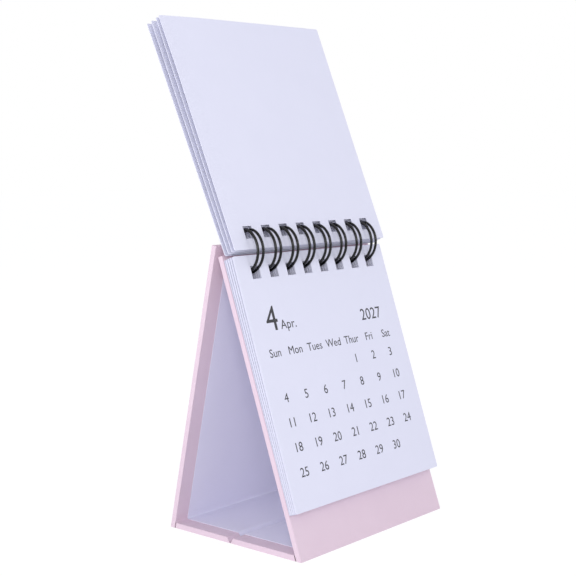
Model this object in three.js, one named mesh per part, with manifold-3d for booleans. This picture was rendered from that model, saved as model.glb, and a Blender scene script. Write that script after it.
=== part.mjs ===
// A small standing desk calendar: paper-covered boards folded into an A-shaped stand, a closed
// twin-loop wire through the tops of both tall boards, and a cover and twelve month leaves.
// Millimetres, +X along the wire, +Y towards the back, +Z up. The stand is open on the table with
// January to March turned over the wire, and April showing.
import * as THREE from 'three';
import { mergeVertices } from 'three/addons/utils/BufferGeometryUtils.js';
import Module from 'manifold-3d';

const wasm = await Module();
wasm.setup();

// Stand
const standWidth = 76;
const boardHeight = 98;
const frontLean = 19.2;
const backLean = 12.3;
const baseDepth = 57.5;
const creaseDepth = 30;

// Board make-up, from the outer paper inwards
const coverPaper = 0.25;
const glueGap = 0.05;
const greyboard = 1.25;
const turnIn = 0.2;
const liningPaper = 0.15;
const turnInWidth = 9;
const liningMargin = 5.5;
const creaseGap = 0.3;
const creaseInset = 0.1;
const creaseSlope = 1.35;

// Wire
const wireDiameter = 0.9;
const ringRadius = 7.45;
const ringCentreY = 30.8;
const ringCentreZ = 93.8;
const loopCount = 8;
const loopMargin = 8.367;
const twinSpacing = 2.5;
const spineAngle = 294;
const tipAngle = 317;
const spineBend = 0.8;

// The ring is pressed flat where it passes between the boards, and where it slopes down behind the
// turned leaves: each flat's distance from the ring's centre, and the way that it faces
const rearFlat = 3.5;
const rearFlatFacing = 12.3;
const topFlat = 5.7;
const topFlatFacing = 63.3;
const flatSharpness = 8;

// Wire holes, through the front board and the leaves
const holeSize = 4;
const boardHoleTop = 3.4;
const boardHoleHeight = 4.4;

// Leaves
const leafOverhang = 0.25;
const leafHeight = 81.8;
const leafPaper = 0.25;
const leafMargin = 3.6;
const leafHoleHeight = 4.2;
const leafCorner = 1.5;
const leafDrop = 2.34;
const stackTopStart = 0.75;
const stackTopStep = 0.49;
const stackFootStart = 0.55;
const stackFootStep = 0.36;
const hangingMonths = ['december', 'november', 'october', 'september', 'august', 'july', 'june', 'may', 'april'];

// Turned leaves, from the front one to the cover: their bound edges step down behind each other
const turnedMonths = ['march', 'february', 'january', 'cover'];
const turnedEdgeY = 25.9;
const turnedEdgeZ = 94.6;
const turnedStepY = 1.25;
const turnedStepZ = -0.62;
const turnedLean = 22.8;
const turnedLeanStep = 0.4;

const pinkPaper = new THREE.MeshStandardMaterial({ color: 0xe7d2dd, roughness: 0.7, metalness: 0 });
const greyCore = new THREE.MeshStandardMaterial({ color: 0xa9a59c, roughness: 0.9, metalness: 0 });
const whiteLining = new THREE.MeshStandardMaterial({ color: 0xdedcf0, roughness: 0.75, metalness: 0 });
const leafStock = new THREE.MeshStandardMaterial({ color: 0xe4e5f4, roughness: 0.8, metalness: 0 });
const coverStock = new THREE.MeshStandardMaterial({ color: 0xecdbe8, roughness: 0.7, metalness: 0 });
const blackWire = new THREE.MeshStandardMaterial({ color: 0x151416, roughness: 0.3, metalness: 0.8 });

const thickness = coverPaper + 2 * glueGap + greyboard + turnIn + glueGap + liningPaper;
const leafWidth = standWidth + 2 * leafOverhang;
const loopPitch = (standWidth - 2 * loopMargin) / (loopCount - 1);
const loopXs = Array.from({ length: loopCount }, (_, i) => loopMargin + i * loopPitch);
const rad = THREE.MathUtils.degToRad;
const ringCentre = new THREE.Vector2(ringCentreY, ringCentreZ);

// A point or direction in the YZ plane, from an angle off +Y
function direction(degrees) {
  return new THREE.Vector2(Math.cos(rad(degrees)), Math.sin(rad(degrees)));
}

// Booleans on three.js geometries
function solidOf(geometry) {
  const bare = geometry.clone();
  bare.deleteAttribute('normal');
  bare.deleteAttribute('uv');
  const merged = mergeVertices(bare, 1e-5);
  return new wasm.Manifold(new wasm.Mesh({
    numProp: 3,
    vertProperties: new Float32Array(merged.attributes.position.array),
    triVerts: new Uint32Array(merged.index.array),
  }));
}

function geometryOf(solid) {
  const mesh = solid.getMesh();
  const geometry = new THREE.BufferGeometry();
  geometry.setAttribute('position', new THREE.BufferAttribute(mesh.vertProperties, 3));
  geometry.setIndex(new THREE.BufferAttribute(mesh.triVerts, 1));
  return geometry;
}

function cut(geometry, cutters) {
  let solid = solidOf(geometry);
  for (const cutter of cutters) {
    solid = solid.subtract(solidOf(cutter));
  }
  return geometryOf(solid);
}

// A bar along X whose section is a list of [along, depth] corners, between two X values
function bar(section, x0, x1) {
  const shape = new THREE.Shape(section.map(([along, depth]) => new THREE.Vector2(along, depth)));
  const geometry = new THREE.ExtrudeGeometry(shape, { depth: x1 - x0, bevelEnabled: false });
  // the section's plane becomes YZ, and the extrusion runs along X
  geometry.applyMatrix4(new THREE.Matrix4().makeBasis(
    new THREE.Vector3(0, 1, 0), new THREE.Vector3(0, 0, 1), new THREE.Vector3(1, 0, 0)));
  geometry.translate(x0, 0, 0);
  return geometry;
}

// A box cut out of a board, as along, depth and X ranges
function slotBox(along0, along1, depth0, depth1, x0, x1) {
  return bar([[along0, depth0], [along1, depth0], [along1, depth1], [along0, depth1]], x0, x1);
}

// A board's three layers in its own frame: Y runs along the board, Z in from its outer face.
// start and end give where the board begins and ends at a depth. The outer paper is turned in over
// the sides, and over the end of a tall board, and runs on flat where boards meet at a crease.
function boardLayers(start, end, turnedTop, openings) {
  const layer = (depth0, depth1, startInset, endInset) => [
    [start(depth0) + startInset, depth0],
    [end(depth0) - endInset, depth0],
    [end(depth1) - endInset, depth1],
    [start(depth1) + startInset, depth1],
  ];
  const past = -5;
  const paperTop = thickness - liningPaper - glueGap;
  const pocketTop = paperTop - turnIn;
  const coreBottom = coverPaper + glueGap;
  const coreInset = coverPaper + glueGap;
  const pocket = bar(layer(coverPaper, pocketTop, past, turnedTop ? coverPaper : past),
    coverPaper, standWidth - coverPaper);
  const window = slotBox(start(0) + past, end(0) - (turnedTop ? turnInWidth : past), pocketTop - glueGap, thickness,
    turnInWidth, standWidth - turnInWidth);
  const wrap = cut(bar(layer(0, paperTop, 0, 0), 0, standWidth), [pocket, window, ...openings]);
  const core = cut(
    bar(layer(coreBottom, coreBottom + greyboard, creaseInset, turnedTop ? coreInset : creaseInset),
      coreInset, standWidth - coreInset),
    openings);
  const lining = cut(
    slotBox(start(thickness), end(thickness) - (turnedTop ? liningMargin : 0),
      thickness - liningPaper, thickness, liningMargin, standWidth - liningMargin),
    openings);
  return { wrap, core, lining };
}

// Openings for the wire in the front board, one at each loop
function wireOpenings() {
  const top = boardHeight - boardHoleTop;
  return loopXs.map((x) => slotBox(top - boardHoleHeight, top, -1, thickness + 1,
    x - holeSize / 2, x + holeSize / 2));
}

function named(name, geometry, material) {
  const mesh = new THREE.Mesh(geometry, material);
  mesh.name = name;
  return mesh;
}

function board(name, layers) {
  const group = new THREE.Group();
  group.add(named(`${name}_greyboard`, layers.core, greyCore));
  group.add(named(`${name}_paper`, layers.wrap, pinkPaper));
  group.add(named(`${name}_lining`, layers.lining, whiteLining));
  return group;
}

// Front board, leaning back from its foot at the origin, with closed holes for the wire
function frontBoard() {
  const tan = Math.tan(rad(frontLean));
  const layers = boardLayers((depth) => depth * tan, () => boardHeight, true,
    wireOpenings());
  const group = board('front', layers);
  // local Y runs up the board, and local Z back from its face
  group.rotation.x = rad(90 - frontLean);
  group.children.forEach((mesh) => mesh.geometry.scale(1, 1, -1));
  group.children.forEach((mesh) => turnInsideOut(mesh.geometry));
  return group;
}

// Back board, leaning forward from the rear edge of the base to rest behind the wire
function backBoard() {
  const tan = Math.tan(rad(backLean));
  const layers = boardLayers((depth) => depth * tan, () => boardHeight, true, []);
  const group = board('back', layers);
  group.rotation.x = rad(90 + backLean);
  group.position.y = baseDepth;
  return group;
}

// The base's two half boards, either side of the crease across it
function baseFront() {
  const tan = Math.tan(rad(frontLean));
  const foot = thickness / Math.cos(rad(frontLean)) + creaseGap;
  const layers = boardLayers((depth) => foot + depth * tan,
    (depth) => creaseDepth - creaseGap / 2 - (creaseSlope * depth) / thickness, false, []);
  return board('base_front', layers);
}

function baseRear() {
  const tan = Math.tan(rad(backLean));
  const foot = baseDepth - thickness / Math.cos(rad(backLean)) - creaseGap;
  const layers = boardLayers((depth) => creaseDepth + creaseGap / 2 + (creaseSlope * depth) / thickness,
    (depth) => foot - depth * tan, false, []);
  return board('base_rear', layers);
}

// A mirrored geometry has its faces turned in, so each triangle is wound the other way
function turnInsideOut(geometry) {
  const index = geometry.index.array;
  for (let i = 0; i < index.length; i += 3) {
    [index[i + 1], index[i + 2]] = [index[i + 2], index[i + 1]];
  }
}

// A round tube through a list of points, with flat ends
function tube(points, radius, sides) {
  const positions = [];
  const faces = [];
  const tangents = points.map((p, i) => {
    const before = points[Math.max(i - 1, 0)];
    const after = points[Math.min(i + 1, points.length - 1)];
    return after.clone().sub(before).normalize();
  });
  let normal = new THREE.Vector3(0, 0, 1).cross(tangents[0]).normalize();
  points.forEach((p, i) => {
    // the section turns with the path and never twists about it
    normal = normal.clone().addScaledVector(tangents[i], -normal.dot(tangents[i])).normalize();
    const side = tangents[i].clone().cross(normal);
    for (let k = 0; k < sides; k++) {
      const a = (2 * Math.PI * k) / sides;
      const corner = p.clone().addScaledVector(normal, radius * Math.cos(a)).addScaledVector(side, radius * Math.sin(a));
      positions.push(corner.x, corner.y, corner.z);
    }
  });
  for (let i = 0; i < points.length - 1; i++) {
    for (let k = 0; k < sides; k++) {
      const a = i * sides + k;
      const b = i * sides + ((k + 1) % sides);
      faces.push(a, b, a + sides, b, b + sides, a + sides);
    }
  }
  const last = (points.length - 1) * sides;
  for (let k = 1; k < sides - 1; k++) {
    faces.push(0, k + 1, k);
    faces.push(last, last + k, last + k + 1);
  }
  const geometry = new THREE.BufferGeometry();
  geometry.setAttribute('position', new THREE.BufferAttribute(new Float32Array(positions), 3));
  geometry.setIndex(faces);
  return geometry;
}

// The binding is one wire bent into hairpins and closed into loops: it runs along the spine, round
// the ring to a hairpin tip, back round the ring to the spine, and on to the next loop.
function wireBinding() {
  const arcSteps = 22;
  const bendSteps = 3;
  const tipSteps = 4;
  const half = twinSpacing / 2;
  // a circle, eased onto each flat
  const ringReach = (degrees) => {
    const nearness = [1 / ringRadius,
      Math.max(0, Math.cos(rad(degrees - rearFlatFacing))) / rearFlat,
      Math.max(0, Math.cos(rad(degrees - topFlatFacing))) / topFlat];
    const sum = nearness.reduce((total, near) => total + near ** flatSharpness, 0);
    return sum ** (-1 / flatSharpness);
  };
  const onRing = (x, degrees) => {
    const d = direction(degrees).multiplyScalar(ringReach(degrees));
    return new THREE.Vector3(x, ringCentreY + d.x, ringCentreZ + d.y);
  };
  const arcDegrees = (length) => THREE.MathUtils.radToDeg(length / ringRadius);
  const bend = arcDegrees(spineBend);
  const start = spineAngle - bend;
  const end = tipAngle - 360;
  const points = [];
  loopXs.forEach((x, i) => {
    const left = x - half;
    const right = x + half;
    if (i === 0) {
      points.push(onRing(left - 2 * spineBend, spineAngle));
    }
    // quarter bend off the spine, the ring, the hairpin tip, the ring again, and the bend back
    for (let k = 0; k <= bendSteps; k++) {
      const a = (Math.PI / 2) * (k / bendSteps);
      points.push(onRing(left - spineBend * (1 - Math.sin(a)), spineAngle - bend * (1 - Math.cos(a))));
    }
    for (let k = 1; k < arcSteps; k++) {
      points.push(onRing(left, start + ((end - start) * k) / arcSteps));
    }
    for (let k = 0; k <= tipSteps; k++) {
      const a = Math.PI * (k / tipSteps);
      points.push(onRing(x - half * Math.cos(a), end - arcDegrees(half) * Math.sin(a)));
    }
    for (let k = arcSteps - 1; k > 0; k--) {
      points.push(onRing(right, start + ((end - start) * k) / arcSteps));
    }
    for (let k = bendSteps; k >= 0; k--) {
      const a = (Math.PI / 2) * (k / bendSteps);
      points.push(onRing(right + spineBend * (1 - Math.sin(a)), spineAngle - bend * (1 - Math.cos(a))));
    }
    if (i === loopCount - 1) {
      points.push(onRing(right + 2 * spineBend, spineAngle));
    }
  });
  return named('wire_binding', tube(points, wireDiameter / 2, 6), blackWire);
}

// A leaf in its own frame: its bound edge lies on X, it hangs down -Y, and it is centred on Z = 0
function leafGeometry() {
  const x0 = (standWidth - leafWidth) / 2;
  const x1 = x0 + leafWidth;
  const r = leafCorner;
  const centres = [[x0 + r, -r, 90], [x0 + r, r - leafHeight, 180], [x1 - r, r - leafHeight, 270], [x1 - r, -r, 0]];
  const cornerSteps = 3;
  const rim = [];
  for (const [cx, cy, from] of centres) {
    for (let k = 0; k <= cornerSteps; k++) {
      const d = direction(from + (90 * k) / cornerSteps);
      rim.push(new THREE.Vector2(cx + r * d.x, cy + r * d.y));
    }
  }
  const sheet = new THREE.ExtrudeGeometry(new THREE.Shape(rim), { depth: leafPaper, bevelEnabled: false });
  sheet.translate(0, 0, -leafPaper / 2);
  const holes = loopXs.map((x) => slotBox(-leafMargin - leafHoleHeight, -leafMargin, -1, 1,
    x - holeSize / 2, x + holeSize / 2));
  // the openings are drawn as sections in YZ, which is the sheet's own frame
  return cut(sheet, holes);
}

// Places a leaf by its bound edge in YZ and the direction in which it runs away from the wire
function placedLeaf(name, edge, away, material) {
  const leaf = named(`${name}_leaf`, leafGeometry(), material);
  leaf.position.set(0, edge.x, edge.y);
  leaf.rotation.x = Math.atan2(-away.y, -away.x);
  return leaf;
}

// Leaves not yet turned hang in front of the front board, a little closer together at their feet
function hangingLeaf(name, i) {
  const topOffset = stackTopStart + stackTopStep * i;
  const footOffset = stackFootStart + stackFootStep * i;
  const down = direction(270 - frontLean);
  const outward = direction(180 - frontLean);
  const along = ringCentre.dot(down) + leafDrop;
  const edge = down.clone().multiplyScalar(along).addScaledVector(outward, topOffset);
  const foot = edge.clone().addScaledVector(down, leafHeight).addScaledVector(outward, footOffset - topOffset);
  return placedLeaf(name, edge, foot.sub(edge).normalize(), leafStock);
}

// Turned leaves stand up behind the wire, and lean back a little more towards the cover
function turnedLeaf(name, i) {
  const away = direction(90 - turnedLean - turnedLeanStep * i);
  const edge = new THREE.Vector2(turnedEdgeY + turnedStepY * i, turnedEdgeZ + turnedStepZ * i);
  return placedLeaf(name, edge, away, name === 'cover' ? coverStock : leafStock);
}

const calendar = new THREE.Group();
calendar.add(frontBoard(), backBoard(), baseFront(), baseRear(), wireBinding());
hangingMonths.forEach((name, i) => calendar.add(hangingLeaf(name, i)));
turnedMonths.forEach((name, i) => calendar.add(turnedLeaf(name, i)));

// The origin is under the middle of the whole calendar, on the table
const box = new THREE.Box3().setFromObject(calendar, true);
const middle = box.getCenter(new THREE.Vector3());
calendar.position.set(-middle.x, -middle.y, 0);
calendar.updateMatrixWorld(true);

export default calendar;
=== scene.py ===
# A small standing desk calendar, built round its CAD model: paper-covered boards folded into a
# stand, and leaves that hang from a black twin-loop wire or are turned over it. Lengths are in
# metres, with +X along the wire, +Y to the back and +Z up.
import calendar
import math

import bmesh
import bpy
from mathutils import Matrix, Vector


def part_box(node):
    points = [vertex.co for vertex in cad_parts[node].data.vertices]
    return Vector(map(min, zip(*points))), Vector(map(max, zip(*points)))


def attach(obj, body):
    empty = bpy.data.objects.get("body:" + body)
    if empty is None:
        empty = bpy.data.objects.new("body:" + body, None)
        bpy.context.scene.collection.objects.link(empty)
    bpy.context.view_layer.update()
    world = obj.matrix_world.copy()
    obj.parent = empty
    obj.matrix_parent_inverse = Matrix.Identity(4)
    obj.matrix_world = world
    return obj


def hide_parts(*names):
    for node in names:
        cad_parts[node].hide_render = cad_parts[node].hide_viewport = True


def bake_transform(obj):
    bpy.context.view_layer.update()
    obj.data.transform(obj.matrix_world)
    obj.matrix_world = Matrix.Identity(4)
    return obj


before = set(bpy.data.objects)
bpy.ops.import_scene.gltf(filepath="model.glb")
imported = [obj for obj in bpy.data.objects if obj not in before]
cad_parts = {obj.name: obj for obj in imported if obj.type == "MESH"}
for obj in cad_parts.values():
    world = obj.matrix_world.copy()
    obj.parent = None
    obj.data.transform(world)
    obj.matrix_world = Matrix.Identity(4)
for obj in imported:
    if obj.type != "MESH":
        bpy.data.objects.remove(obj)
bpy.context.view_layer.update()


# Boards: four panels of grey board, wrapped in pink paper whose edges are turned in, with lavender
# lining paper pasted inside over the turned-in edges. They keep their CAD shapes, and the
# wrapping paper's folded edges are rounded off.
MM = 0.001
FIBRE_SCALE = 2500
FIBRE_RELIEF = 0.02 * MM
MOTTLE_SCALE = 90
ROUGHNESS_DRIFT = 0.06
GLOSS = 0.3
EDGE_ROUNDING = 0.1 * MM
SAME_FACE_ANGLE = math.radians(1)
FOLDED_EDGE_ANGLE = math.radians(35)


def fibre_group():
    """Paper fibres: a slow drift of tone, and a fine relief."""
    group = bpy.data.node_groups.new("Paper Fibres", "ShaderNodeTree")
    group.interface.new_socket("Relief", in_out="INPUT", socket_type="NodeSocketFloat")
    group.interface.new_socket("Mottle", in_out="OUTPUT", socket_type="NodeSocketFloat")
    group.interface.new_socket("Normal", in_out="OUTPUT", socket_type="NodeSocketVector")
    nodes, links = group.nodes, group.links
    given = nodes.new("NodeGroupInput")
    result = nodes.new("NodeGroupOutput")
    place = nodes.new("ShaderNodeTexCoord")
    fine = nodes.new("ShaderNodeTexNoise")
    fine.inputs["Scale"].default_value = FIBRE_SCALE
    fine.inputs["Detail"].default_value = 4
    fine.inputs["Roughness"].default_value = 0.65
    broad = nodes.new("ShaderNodeTexNoise")
    broad.inputs["Scale"].default_value = MOTTLE_SCALE
    broad.inputs["Detail"].default_value = 3
    bump = nodes.new("ShaderNodeBump")
    bump.inputs["Distance"].default_value = FIBRE_RELIEF
    links.new(place.outputs["Object"], fine.inputs["Vector"])
    links.new(place.outputs["Object"], broad.inputs["Vector"])
    links.new(given.outputs["Relief"], bump.inputs["Strength"])
    links.new(fine.outputs["Fac"], bump.inputs["Height"])
    links.new(broad.outputs["Fac"], result.inputs["Mottle"])
    links.new(bump.outputs["Normal"], result.inputs["Normal"])
    return group


FIBRES = fibre_group()


def finish(name, light, shade, roughness, relief, metallic=0.0):
    """A surface whose colour drifts from light to shade, and its roughness a little with it."""
    material = bpy.data.materials.new(name)
    material.use_nodes = True
    nodes, links = material.node_tree.nodes, material.node_tree.links
    surface = nodes["Principled BSDF"]
    surface.inputs["Metallic"].default_value = metallic
    surface.inputs["Specular IOR Level"].default_value = GLOSS
    fibres = nodes.new("ShaderNodeGroup")
    fibres.node_tree = FIBRES
    fibres.inputs["Relief"].default_value = relief
    tint = nodes.new("ShaderNodeMix")
    tint.data_type = "RGBA"
    tint.inputs["A"].default_value = (*light, 1)
    tint.inputs["B"].default_value = (*shade, 1)
    wear = nodes.new("ShaderNodeMapRange")
    wear.inputs["To Min"].default_value = roughness - ROUGHNESS_DRIFT
    wear.inputs["To Max"].default_value = roughness + ROUGHNESS_DRIFT
    links.new(fibres.outputs["Mottle"], tint.inputs["Factor"])
    links.new(fibres.outputs["Mottle"], wear.inputs["Value"])
    links.new(tint.outputs["Result"], surface.inputs["Base Color"])
    links.new(wear.outputs["Result"], surface.inputs["Roughness"])
    links.new(fibres.outputs["Normal"], surface.inputs["Normal"])
    return material


PINK = finish("Pink Wrapping Paper", light=(0.78, 0.635, 0.725), shade=(0.74, 0.59, 0.685),
              roughness=0.65, relief=0.35)
LINING = finish("Lavender Lining Paper", light=(0.80, 0.79, 0.925), shade=(0.77, 0.76, 0.905),
                roughness=0.7, relief=0.3)
BOARD = finish("Grey Board", light=(0.38, 0.36, 0.32), shade=(0.32, 0.30, 0.27),
               roughness=0.9, relief=0.6)


def dress(node, material):
    """Gives a CAD solid its material."""
    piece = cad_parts[node]
    piece.data.materials.clear()
    piece.data.materials.append(material)
    return piece


def round_folds(paper):
    """Joins each flat face's triangles, and rounds the edges where the paper folds."""
    flat = paper.modifiers.new("Flat Faces", "DECIMATE")
    flat.decimate_type = "DISSOLVE"
    flat.angle_limit = SAME_FACE_ANGLE
    bevel = paper.modifiers.new("Folded Edges", "BEVEL")
    bevel.width = EDGE_ROUNDING
    bevel.segments = 3
    bevel.angle_limit = FOLDED_EDGE_ANGLE
    bevel.harden_normals = True


for board in ("front", "back", "base_front", "base_rear"):
    dress(f"{board}_greyboard", BOARD)
    round_folds(dress(f"{board}_paper", PINK))
    dress(f"{board}_lining", LINING)


# Creases: where two boards meet, the wrapping and lining papers run on from one to the other as
# thin strips. The lining covers the middle of each crease, and the turned-in wrapping paper shows
# beside it at both ends.
STRIP_END = 37.95 * MM
LINING_HALF_WIDTH = 32.5 * MM
LINING_STEP = 0.2 * MM
STRIP_REACH = 2.2 * MM
STRIP_LIFT = 0.025 * MM
STRIP_THICKNESS = 0.03 * MM
CREASE_GAP = 0.3 * MM
CORNER_ABOVE = 0.5 * MM
CORNER_ROUNDING = 0.15 * MM
CORNER_ALONG = 0.6 * MM
FOLD_HALF_WIDTH = 0.2 * MM
FOLD_LEVEL = 0.5 * MM
OUTER_LEVEL = 0.06 * MM
OUTER_REACH = 1 * MM


def face_of(node):
    """Centre of a CAD sheet or board, and its directions across, up and out of its larger face."""
    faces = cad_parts[node].data.polygons
    out = max(faces, key=lambda face: face.area).normal.copy()
    if out.y > 0:
        out.negate()
    low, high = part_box(node)
    across = Vector((1, 0, 0))
    return (Vector(low) + Vector(high)) / 2, across, out.cross(across), out


def crease_strip(name, section, start_x, end_x, material):
    """A strip of paper along X, extruded through the (y, z) points of its section."""
    bm = bmesh.new()
    here = Vector((0, *section[0]))
    edge = bm.edges.new([bm.verts.new(here + Vector((x, 0, 0))) for x in (start_x, end_x)])
    for point in section[1:]:
        there = Vector((0, *point))
        grown = bmesh.ops.extrude_edge_only(bm, edges=[edge])["geom"]
        corners = [part for part in grown if isinstance(part, bmesh.types.BMVert)]
        bmesh.ops.translate(bm, vec=there - here, verts=corners)
        edge = next(part for part in grown if isinstance(part, bmesh.types.BMEdge))
        here = there
    mesh = bpy.data.meshes.new(name)
    bm.to_mesh(mesh)
    bm.free()
    mesh.materials.append(material)
    strip = bpy.data.objects.new(name, mesh)
    bpy.context.scene.collection.objects.link(strip)
    thick = strip.modifiers.new("Paper Thickness", "SOLIDIFY")
    thick.thickness = STRIP_THICKNESS
    thick.offset = 0
    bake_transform(strip)


def inner_strips(place, section_at):
    """section_at(drop) gives the section at a depth below the lining's face."""
    margin = section_at(LINING_STEP - STRIP_LIFT)
    crease_strip(f"{place}_crease_lining", section_at(-STRIP_LIFT), -LINING_HALF_WIDTH,
                 LINING_HALF_WIDTH, LINING)
    for side, start_x, end_x in (("left", -STRIP_END, -LINING_HALF_WIDTH),
                                 ("right", LINING_HALF_WIDTH, STRIP_END)):
        crease_strip(f"{place}_crease_{side}", margin, start_x, end_x, PINK)


def corner_section(board, foot, inward):
    """The section of a corner crease, down the board's inner face and on along the base."""
    up = face_of(board)[2]
    run = Vector((0, inward, 0))
    corner = Vector((0, foot - inward * CREASE_GAP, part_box("base_front_lining")[1][2]))
    half_angle = up.angle(run) / 2

    def section_at(drop):
        start = corner - (up + run).normalized() * drop / math.sin(half_angle)
        steps = (up * STRIP_REACH, up * CORNER_ABOVE, (up + run) * CORNER_ROUNDING,
                 run * CORNER_ALONG, run * STRIP_REACH)
        return [((start + step).y, (start + step).z) for step in steps]

    return section_at


def middle_section(front_edge, rear_edge, top):
    """The section of the crease across the base, which dips between its two halves."""
    middle = (front_edge + rear_edge) / 2

    def section_at(drop):
        level = top - drop
        return [(front_edge - STRIP_REACH, level), (front_edge, level),
                (middle - FOLD_HALF_WIDTH, FOLD_LEVEL), (middle + FOLD_HALF_WIDTH, FOLD_LEVEL),
                (rear_edge, level), (rear_edge + STRIP_REACH, level)]

    return section_at


def creases():
    front_low, front_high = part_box("base_front_lining")
    rear_low, rear_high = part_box("base_rear_lining")
    front_bodies = ("front_stand", "base_front_half")
    middle_bodies = ("base_front_half", "base_rear_half")
    back_bodies = ("base_rear_half", "back_board")
    inner_strips("front", corner_section("front_lining", front_low[1], 1))
    inner_strips("back", corner_section("back_lining", rear_high[1], -1))
    inner_strips("middle", middle_section(front_high[1], rear_low[1], front_high[2]))
    outer = (
        ("front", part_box("base_front_paper")[0][1], front_bodies),
        ("middle", (front_high[1] + rear_low[1]) / 2, middle_bodies),
        ("back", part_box("base_rear_paper")[1][1], back_bodies),
    )
    for place, y, bodies in outer:
        section = [(y + step, OUTER_LEVEL) for step in (-OUTER_REACH, 0, OUTER_REACH)]
        crease_strip(f"{place}_crease_outer", section, -STRIP_END, STRIP_END, PINK)


creases()


# Leaves: thirteen sheets of heavy paper, twelve months and a cover that is pink on its outside,
# each cut with eight square holes along its bound edge. Nine hang in front of the stand and four
# are turned over the wire. Each has a slight curl of its own, least near the wire.
LEAF = finish("Leaf Paper", light=(0.77, 0.78, 0.91), shade=(0.75, 0.76, 0.89),
              roughness=0.75, relief=0.2)
COVER = finish("Cover Paper", light=(0.83, 0.69, 0.78), shade=(0.79, 0.65, 0.75),
               roughness=0.7, relief=0.2)
LEAF_WIDTH = 76.5 * MM
LEAF_HEIGHT = 81.8 * MM
LEAF_THICKNESS = 0.24 * MM
LEAF_CORNER = 0.5 * MM
LEAF_ROWS = 16
HOLE_HALF_WIDTH = 2 * MM
HOLE_START = 3.6 * MM
HOLE_END = 7.8 * MM
LOOPS = 8
LOOP_PITCH = 8.467 * MM
LOOP_PLACES = [(i - (LOOPS - 1) / 2) * LOOP_PITCH for i in range(LOOPS)]
LEFT_MARGIN_END = LOOP_PLACES[0] - HOLE_HALF_WIDTH - 0.1 * MM
TURNED_ABOVE = 100 * MM
CURLS = {}


def cut_leaf():
    """A flat leaf, with X across it and Y from the middle of its height to its free edge."""
    bm = bmesh.new()
    bmesh.ops.create_grid(bm, x_segments=1, y_segments=1, size=0.5)
    bmesh.ops.scale(bm, vec=(LEAF_WIDTH, LEAF_HEIGHT, 1), verts=bm.verts)
    bmesh.ops.bevel(bm, geom=bm.verts[:], offset=LEAF_CORNER, segments=3, profile=0.5,
                    affect="VERTICES", material=-1)
    row_height = (LEAF_HEIGHT - HOLE_END) / LEAF_ROWS
    across = [x + side * HOLE_HALF_WIDTH for x in LOOP_PLACES for side in (-1, 1)]
    down = [HOLE_START] + [HOLE_END + i * row_height for i in range(LEAF_ROWS)]
    cuts = [(Vector((1, 0, 0)), x) for x in across]
    cuts += [(Vector((0, 1, 0)), y - LEAF_HEIGHT / 2) for y in down]
    for way, place in cuts:
        everything = bm.verts[:] + bm.edges[:] + bm.faces[:]
        bmesh.ops.bisect_plane(bm, geom=everything, plane_co=way * place, plane_no=way)

    def in_hole(middle):
        in_row = HOLE_START < middle.y + LEAF_HEIGHT / 2 < HOLE_END
        return in_row and any(abs(middle.x - x) < HOLE_HALF_WIDTH for x in LOOP_PLACES)

    holes = [face for face in bm.faces if in_hole(face.calc_center_median())]
    bmesh.ops.delete(bm, geom=holes, context="FACES")
    mesh = bpy.data.meshes.new("cut_leaf")
    bm.to_mesh(mesh)
    bm.free()
    return mesh


CUT_LEAF = cut_leaf()


def add_mesh(name, mesh, materials, body):
    """Puts a finished mesh in the scene, on its CAD body and with its material slot."""
    piece = bpy.data.objects.new(name, mesh)
    bpy.context.scene.collection.objects.link(piece)
    mesh.materials.clear()
    for material in materials:
        mesh.materials.append(material)
    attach(piece, body)
    return piece


def leaf(month, curl, materials=(LEAF,), overhang=0.0):
    """A leaf of the given curl, whose left edge stands out by overhang past the other leaves.

    curl(across, down) is the shift towards the reader, with across from -1 at the left edge to 1
    and down from 0 at the bound edge to 1.
    """
    CURLS[month] = curl
    centre, x_way, up, out = face_of(f"{month}_leaf")
    away = up if centre.z > TURNED_ABOVE else -up
    bm = bmesh.new()
    bm.from_mesh(CUT_LEAF)
    for vert in bm.verts:
        x, y = vert.co.x, vert.co.y
        shift = curl(x / (LEAF_WIDTH / 2), y / LEAF_HEIGHT + 0.5)
        if x < LEFT_MARGIN_END:
            x -= overhang * (LEFT_MARGIN_END - x) / (LEFT_MARGIN_END + LEAF_WIDTH / 2)
        vert.co = centre + x_way * x + away * y + out * shift
    if x_way.cross(away).dot(out) < 0:
        bmesh.ops.reverse_faces(bm, faces=bm.faces)
    mesh = bpy.data.meshes.new(f"{month}_sheet")
    bm.to_mesh(mesh)
    bm.free()
    piece = add_mesh(f"{month}_sheet", mesh, materials, f"{month}_page")
    thick = piece.modifiers.new("Paper Thickness", "SOLIDIFY")
    thick.thickness = LEAF_THICKNESS
    thick.offset = 0
    thick.use_even_offset = True
    thick.material_offset = len(materials) - 1
    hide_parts(f"{month}_leaf")


HANGING_NUDGE = 0.09 * MM
HANGING_BOW = 0.04 * MM
BOW_VARIATION = 2.1
DOG_EAR_ACROSS = 0.55
DOG_EAR_DOWN = 0.75


def hanging_curl(number):
    """A hanging leaf sits a little to one side of its neighbour, and bows by a hair."""
    nudge = HANGING_NUDGE * (1 if number % 2 else -1)
    bow = HANGING_BOW * math.sin(BOW_VARIATION * number)

    def curl(across, down):
        return nudge * (1 - 0.5 * down) + bow * down * (1 - across * across)

    return curl


def turned_curl(near, far, dog_ear=0.0):
    """A turned leaf sits askew: its left side is pushed back, and its right side forward."""
    def curl(across, down):
        corner = max(0.0, -across - DOG_EAR_ACROSS) * max(0.0, down - DOG_EAR_DOWN)
        return (near + (far - near) * down) * across - dog_ear * corner

    return curl


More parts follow.
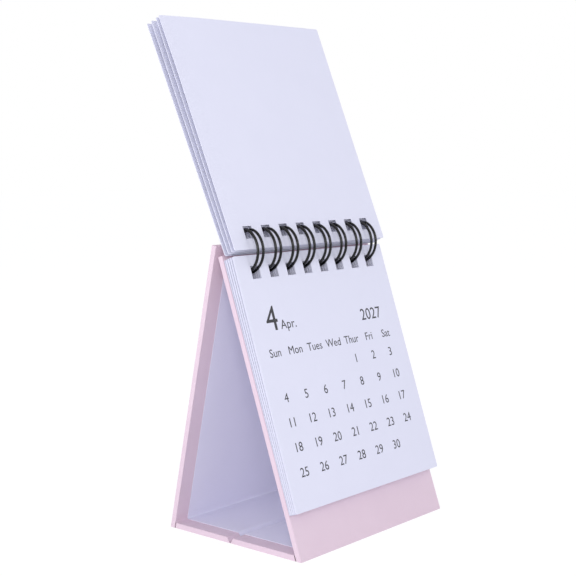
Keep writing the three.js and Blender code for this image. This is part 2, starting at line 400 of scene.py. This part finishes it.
HANGING = ("december", "november", "october", "september", "august", "july", "june", "may", "april")
for number, month in enumerate(HANGING):
    leaf(month, hanging_curl(number))
leaf("march", turned_curl(0.55 * MM, 1.4 * MM, dog_ear=5 * MM))
leaf("february", turned_curl(0.55 * MM, 1.4 * MM))
leaf("january", turned_curl(0.5 * MM, 1.6 * MM), overhang=0.3 * MM)
leaf("cover", turned_curl(0.4 * MM, 1.5 * MM), materials=(LEAF, COVER),
     overhang=0.6 * MM)


# Print: each month's page has its number, name and year, and its days in seven columns, in dark
# grey ink, and the cover has its year in gold foil. A turned page has its print on the side away
# from the reader, upside down.
INK = finish("Grey Printing Ink", light=(0.045, 0.045, 0.052), shade=(0.06, 0.06, 0.068),
             roughness=0.6, relief=0.1)
GOLD = finish("Gold Foil", light=(0.62, 0.42, 0.24), shade=(0.52, 0.35, 0.19),
              roughness=0.35, relief=0.3, metallic=0.9)
YEAR = 2027
WEEKDAYS = ("Sun", "Mon", "Tues", "Wed", "Thur", "Fri", "Sat")
PRINT_HEIGHT = 0.01 * MM
PRINT_CLEARANCE = 1.5 * PRINT_HEIGHT

# Each of these is a distance from the left edge, one from the bound edge, and the letters' size.
NUMBER_PLACE = (10.5 * MM, 21.5 * MM, 11.5 * MM)
NAME_PLACE = (17.8 * MM, 23.6 * MM, 4.3 * MM)
NAME_PLACE_BY_TWO_DIGITS = (20.5 * MM, 23.6 * MM, 4.3 * MM)
YEAR_PLACE = (61.1 * MM, 24.6 * MM, 5.7 * MM)
COVER_YEAR_PLACE = (LEAF_WIDTH / 2, 40 * MM, 18 * MM)

FIRST_COLUMN = 8.3 * MM
COLUMN_STEP = 9.72 * MM
WEEKDAY_ROW = 32.2 * MM
WEEKDAY_SIZE = 3.85 * MM
FIRST_DAY_ROW = 38.8 * MM
DAY_ROW_STEP = 7.87 * MM
DAY_SIZE = 4.2 * MM


def printed_words(name, words, size):
    """The words as a mesh in the XY plane, with their middle at the origin."""
    curve = bpy.data.curves.new(name, "FONT")
    curve.body = words
    curve.size = size
    curve.align_x = "CENTER"
    curve.align_y = "CENTER"
    curve.extrude = PRINT_HEIGHT
    curve.resolution_u = 3
    holder = bpy.data.objects.new(name, curve)
    bpy.context.scene.collection.objects.link(holder)
    shown = holder.evaluated_get(bpy.context.evaluated_depsgraph_get())
    mesh = bpy.data.meshes.new_from_object(shown)
    bpy.data.objects.remove(holder)
    return mesh


def printed_page(name, month, texts, material):
    """texts lists (words, distance from the left edge, distance from the bound edge, size)."""
    centre, across, up, out = face_of(f"{month}_leaf")
    turned = centre.z > TURNED_ABOVE
    if turned:
        up.negate()
        out.negate()
    upright = Matrix((across, up, out)).transposed().to_4x4()
    bm = bmesh.new()
    for words, column, row, size in texts:
        mesh = printed_words(name, words, size)
        for vert in mesh.vertices:
            x = vert.co.x + column - LEAF_WIDTH / 2
            y = vert.co.y + LEAF_HEIGHT / 2 - row
            surface = CURLS[month](x / (LEAF_WIDTH / 2), 0.5 - y / LEAF_HEIGHT)
            lift = vert.co.z + LEAF_THICKNESS / 2 + PRINT_CLEARANCE
            vert.co = (x, y, lift + (-surface if turned else surface))
        mesh.transform(Matrix.Translation(centre) @ upright)
        bm.from_mesh(mesh)
    page = bpy.data.meshes.new(name)
    bm.to_mesh(page)
    bm.free()
    add_mesh(name, page, (material,), f"{month}_page")


def month_texts(number):
    """The words of one month's page, with the weeks starting on Sunday."""
    name = calendar.month_abbr[number]
    if name != calendar.month_name[number]:
        name += "."
    name_place = NAME_PLACE if number < 10 else NAME_PLACE_BY_TWO_DIGITS
    texts = [(str(number), *NUMBER_PLACE), (name, *name_place), (str(YEAR), *YEAR_PLACE)]
    for i, day in enumerate(WEEKDAYS):
        texts.append((day, FIRST_COLUMN + i * COLUMN_STEP, WEEKDAY_ROW, WEEKDAY_SIZE))
    first_weekday, days = calendar.monthrange(YEAR, number)
    first_place = (first_weekday + 1) % 7
    for day in range(1, days + 1):
        week, column = divmod(first_place + day - 1, 7)
        texts.append((str(day), FIRST_COLUMN + column * COLUMN_STEP,
                      FIRST_DAY_ROW + week * DAY_ROW_STEP, DAY_SIZE))
    return texts


for number in range(1, 13):
    month = calendar.month_name[number].lower()
    printed_page(f"print_{month}", month, month_texts(number), INK)
printed_page("print_cover_year", "cover", [(str(YEAR), *COVER_YEAR_PLACE)], GOLD)


# Wire: one black coated wire, bent into eight twin hairpins on a long spine and rolled shut
# through the leaves and the front board. Its rings are pressed flatter behind the board and behind
# the turned leaves, and the spine lies inside the stand.
WIRE = finish("Black Coated Wire", light=(0.004, 0.004, 0.0045), shade=(0.007, 0.007, 0.0075),
              roughness=0.18, relief=0.02)
WIRE_RADIUS = 0.45 * MM
RING_RADIUS = 7.45 * MM
TWIN_HALF_SPACING = 1.25 * MM
SPINE_BEND = 0.8 * MM

# Places on a ring are angles in degrees up from the back. A flat is the angle that it faces and
# its distance from the ring's centre.
RING_FLATS = ((12.3, 3.5 * MM), (63.3, 5.7 * MM))
FLAT_SHARPNESS = 8
SPINE_ANGLE = 294
TIP_ANGLE = -43
BEND_ANGLE = math.degrees(SPINE_BEND / RING_RADIUS)
TIP_REACH = math.degrees(TWIN_HALF_SPACING / RING_RADIUS)
BEND_STEPS = 6
PRONG_STEPS = 60
TIP_STEPS = 10


def ring_reach(degrees):
    """Distance of the wire from the ring's centre: a circle that is eased onto the flats."""
    nearness = [1 / RING_RADIUS]
    for facing, flat in RING_FLATS:
        nearness.append(max(0, math.cos(math.radians(degrees - facing))) / flat)
    return sum(near ** FLAT_SHARPNESS for near in nearness) ** (-1 / FLAT_SHARPNESS)


def hairpin(x):
    """(x, angle) along one twin loop: off the spine, up one prong, round the tip and back."""
    start = SPINE_ANGLE - BEND_ANGLE
    route = []
    for k in range(BEND_STEPS + 1):
        turn = math.pi / 2 * k / BEND_STEPS
        route.append((-TWIN_HALF_SPACING - SPINE_BEND * (1 - math.sin(turn)),
                      SPINE_ANGLE - BEND_ANGLE * (1 - math.cos(turn))))
    for k in range(1, PRONG_STEPS):
        route.append((-TWIN_HALF_SPACING, start + (TIP_ANGLE - start) * k / PRONG_STEPS))
    far_side = [(-across, degrees) for across, degrees in reversed(route)]
    for k in range(TIP_STEPS + 1):
        turn = math.pi * k / TIP_STEPS
        route.append((-TWIN_HALF_SPACING * math.cos(turn), TIP_ANGLE - TIP_REACH * math.sin(turn)))
    return [(x + across, degrees) for across, degrees in route + far_side]


def binding():
    low, high = (Vector(corner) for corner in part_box("wire_binding"))
    edge = RING_RADIUS + WIRE_RADIUS
    centre = Vector(((low.x + high.x) / 2, low.y + edge, low.z + edge))
    spine_end = TWIN_HALF_SPACING + 2 * SPINE_BEND
    route = [(LOOP_PLACES[0] - spine_end, SPINE_ANGLE)]
    for place in LOOP_PLACES:
        route += hairpin(place)
    route.append((LOOP_PLACES[-1] + spine_end, SPINE_ANGLE))
    curve = bpy.data.curves.new("binding_path", "CURVE")
    curve.dimensions = "3D"
    curve.bevel_depth = WIRE_RADIUS
    curve.bevel_resolution = 3
    curve.use_fill_caps = True
    path = curve.splines.new("POLY")
    path.points.add(len(route) - 1)
    for point, (x, degrees) in zip(path.points, route):
        reach = ring_reach(degrees)
        turn = math.radians(degrees)
        point.co = (centre.x + x, centre.y + reach * math.cos(turn),
                    centre.z + reach * math.sin(turn), 1)
    holder = bpy.data.objects.new("binding_path", curve)
    bpy.context.scene.collection.objects.link(holder)
    shown = holder.evaluated_get(bpy.context.evaluated_depsgraph_get())
    mesh = bpy.data.meshes.new_from_object(shown)
    bpy.data.objects.remove(holder)
    mesh.shade_smooth()
    wire = add_mesh("twin_loop_wire", mesh, (WIRE,), "front_stand")
    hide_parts("wire_binding")


binding()


# Studio: a pale floor and a bright surround, which the camera and the wire's gloss see as plain
# white, with a larger lamp at the front left, a small one at the front right, and one at the left
# for the ends of the boards and the leaves' edges.
SURROUND_LEVEL = 0.71
FLOOR_GLOW = 1.1
FLOOR_WHITENESS = 0.8
FLOOR_HALF_WIDTH = 4
FLOOR_CLEARANCE = 0.05 * MM


def seen_rays(nodes, links):
    """1 for camera and glossy rays, and 0 for the light that falls on the object."""
    rays = nodes.new("ShaderNodeLightPath")
    either = nodes.new("ShaderNodeMath")
    either.operation = "MAXIMUM"
    links.new(rays.outputs["Is Camera Ray"], either.inputs[0])
    links.new(rays.outputs["Is Glossy Ray"], either.inputs[1])
    return either.outputs["Value"]


def surround():
    world = bpy.data.worlds.new("Studio")
    bpy.context.scene.world = world
    world.use_nodes = True
    nodes, links = world.node_tree.nodes, world.node_tree.links
    nodes.clear()
    seen = nodes.new("ShaderNodeBackground")
    seen.inputs["Color"].default_value = (1, 1, 1, 1)
    seen.inputs["Strength"].default_value = 1
    lit = nodes.new("ShaderNodeBackground")
    lit.inputs["Color"].default_value = (0.95, 0.955, 1, 1)
    lit.inputs["Strength"].default_value = SURROUND_LEVEL
    choose = nodes.new("ShaderNodeMixShader")
    result = nodes.new("ShaderNodeOutputWorld")
    links.new(seen_rays(nodes, links), choose.inputs["Fac"])
    links.new(lit.outputs["Background"], choose.inputs[1])
    links.new(seen.outputs["Background"], choose.inputs[2])
    links.new(choose.outputs["Shader"], result.inputs["Surface"])


def floor():
    material = bpy.data.materials.new("Pale Floor")
    material.use_nodes = True
    nodes, links = material.node_tree.nodes, material.node_tree.links
    nodes.clear()
    matt = nodes.new("ShaderNodeBsdfDiffuse")
    matt.inputs["Color"].default_value = (0.88, 0.88, 0.9, 1)
    white = nodes.new("ShaderNodeEmission")
    white.inputs["Strength"].default_value = FLOOR_GLOW
    part = nodes.new("ShaderNodeMath")
    part.operation = "MULTIPLY"
    part.inputs[1].default_value = FLOOR_WHITENESS
    choose = nodes.new("ShaderNodeMixShader")
    result = nodes.new("ShaderNodeOutputMaterial")
    links.new(seen_rays(nodes, links), part.inputs[0])
    links.new(part.outputs["Value"], choose.inputs["Fac"])
    links.new(matt.outputs["BSDF"], choose.inputs[1])
    links.new(white.outputs["Emission"], choose.inputs[2])
    links.new(choose.outputs["Shader"], result.inputs["Surface"])
    bm = bmesh.new()
    bmesh.ops.create_grid(bm, x_segments=1, y_segments=1, size=FLOOR_HALF_WIDTH)
    bmesh.ops.translate(bm, vec=(0, 0, -FLOOR_CLEARANCE), verts=bm.verts)
    mesh = bpy.data.meshes.new("floor")
    bm.to_mesh(mesh)
    bm.free()
    mesh.materials.append(material)
    ground = bpy.data.objects.new("floor", mesh)
    bpy.context.scene.collection.objects.link(ground)


def softbox(name, place, aim, width, power, colour):
    lamp = bpy.data.lights.new(name, "AREA")
    lamp.shape = "SQUARE"
    lamp.size = width
    lamp.energy = power
    lamp.color = colour
    holder = bpy.data.objects.new(name, lamp)
    holder.location = place
    holder.rotation_euler = (Vector(aim) - Vector(place)).to_track_quat("-Z", "Y").to_euler()
    bpy.context.scene.collection.objects.link(holder)


surround()
floor()
softbox("Right Front", place=(0.15, -0.8, 0.33), aim=(0, 0, 0.09), width=0.16, power=0.6,
        colour=(1, 0.99, 0.99))
softbox("Left Front", place=(-0.64, -0.50, 0.28), aim=(0, 0, 0.08), width=0.35, power=2.2,
        colour=(1, 0.985, 0.99))
softbox("Left Side", place=(-0.8, 0.15, 0.12), aim=(0, 0, 0.1), width=0.3, power=1.5,
        colour=(1, 0.97, 0.99))


# Camera: at the photograph's viewing angle, found by matching its edges, with a slight tilt to one
# side.
def camera(place, azimuth, pitch, roll, lens):
    data = bpy.data.cameras.new("Camera")
    data.sensor_width = 36
    data.lens = lens
    holder = bpy.data.objects.new("Camera", data)
    turn = Matrix.Rotation(math.radians(azimuth), 4, "Z")
    turn @= Matrix.Rotation(math.radians(90 - pitch), 4, "X")
    turn @= Matrix.Rotation(math.radians(roll), 4, "Z")
    holder.matrix_world = Matrix.Translation(place) @ turn
    bpy.context.scene.collection.objects.link(holder)
    bpy.context.scene.camera = holder


camera((-0.30723, -0.25975, 0.12092), azimuth=-49.12, pitch=5.90, roll=-0.27, lens=74.45)
bpy.context.scene.view_settings.view_transform = "Standard"
